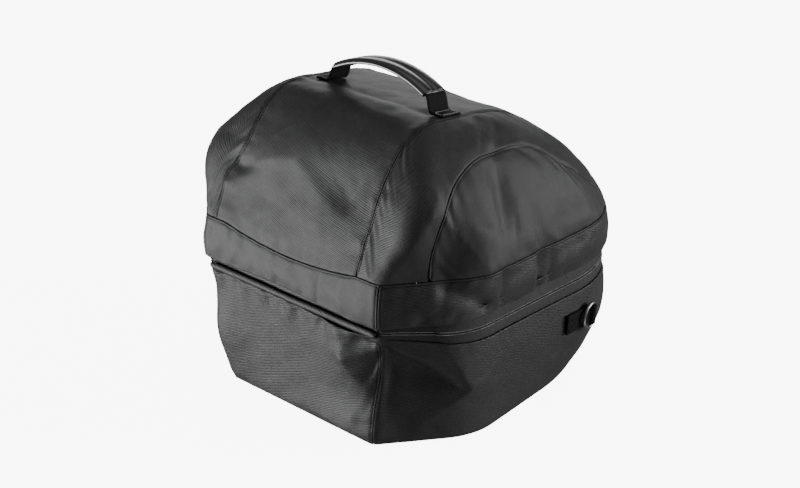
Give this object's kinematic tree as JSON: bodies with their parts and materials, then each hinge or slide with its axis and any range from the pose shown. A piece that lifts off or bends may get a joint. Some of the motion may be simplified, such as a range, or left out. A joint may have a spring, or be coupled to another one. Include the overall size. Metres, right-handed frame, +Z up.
{
  "type": "top case inner bag",
  "caption": "Soft black nylon inner bag for a motorcycle top case: domed zip lid hinged at the front, wide slanted corners, moulded carry handle and a D-ring in a tab on each side.",
  "frame": {"origin": "middle of the footprint on the floor, at the height of the underside of the bottom panel", "axes": "+X across the bag, towards the side on its right in the picture; +Y from the hinge front to the back; +Z up"},
  "size_m": [0.3774, 0.34, 0.3597],
  "materials": {
    "nylon": "coated twill with a satin sheen",
    "webbing": "ribbed webbing",
    "zip_tape": "woven tape with a hidden coil",
    "grip_rubber": "smooth moulded, semi-gloss",
    "ring_metal": "gloss black",
    "slider_metal": "satin black"
  },
  "bodies": {
    "bag": {"base_front": "nylon", "base_back": "nylon", "base_side_right": "nylon", "base_side_left": "nylon", "base_bottom": "nylon", "hinge_roll": "nylon", "band_front": "nylon", "band_back": "nylon", "band_side_right": "nylon", "band_side_left": "nylon", "top_strip": "nylon", "side_panel_right": "nylon", "side_panel_left": "nylon", "arch_panel_right": "nylon", "arch_panel_left": "nylon", "zip_tape_lower": "zip_tape", "zip_tape_upper": "zip_tape", "handle_strap": "webbing", "ring_tab_right": "webbing", "ring_tab_left": "webbing", "handle_grip": "grip_rubber", "zip_slider": "slider_metal"},
    "ring_right": {"d_ring_right": "ring_metal"},
    "ring_left": {"d_ring_left": "ring_metal"}
  },
  "joints": [
    {"name": "ring_right_swing", "type": "hinge", "parent": "bag", "child": "ring_right", "pos_m": [0.17977, 0.10608, 0.08473], "axis": [0.0616, 0.002, 0.9981], "range_deg": [-3, 165]},
    {"name": "ring_left_swing", "type": "hinge", "parent": "bag", "child": "ring_left", "pos_m": [-0.17977, 0.10608, 0.08473], "axis": [0.0616, -0.002, -0.9981], "range_deg": [-3, 165]}
  ]
}
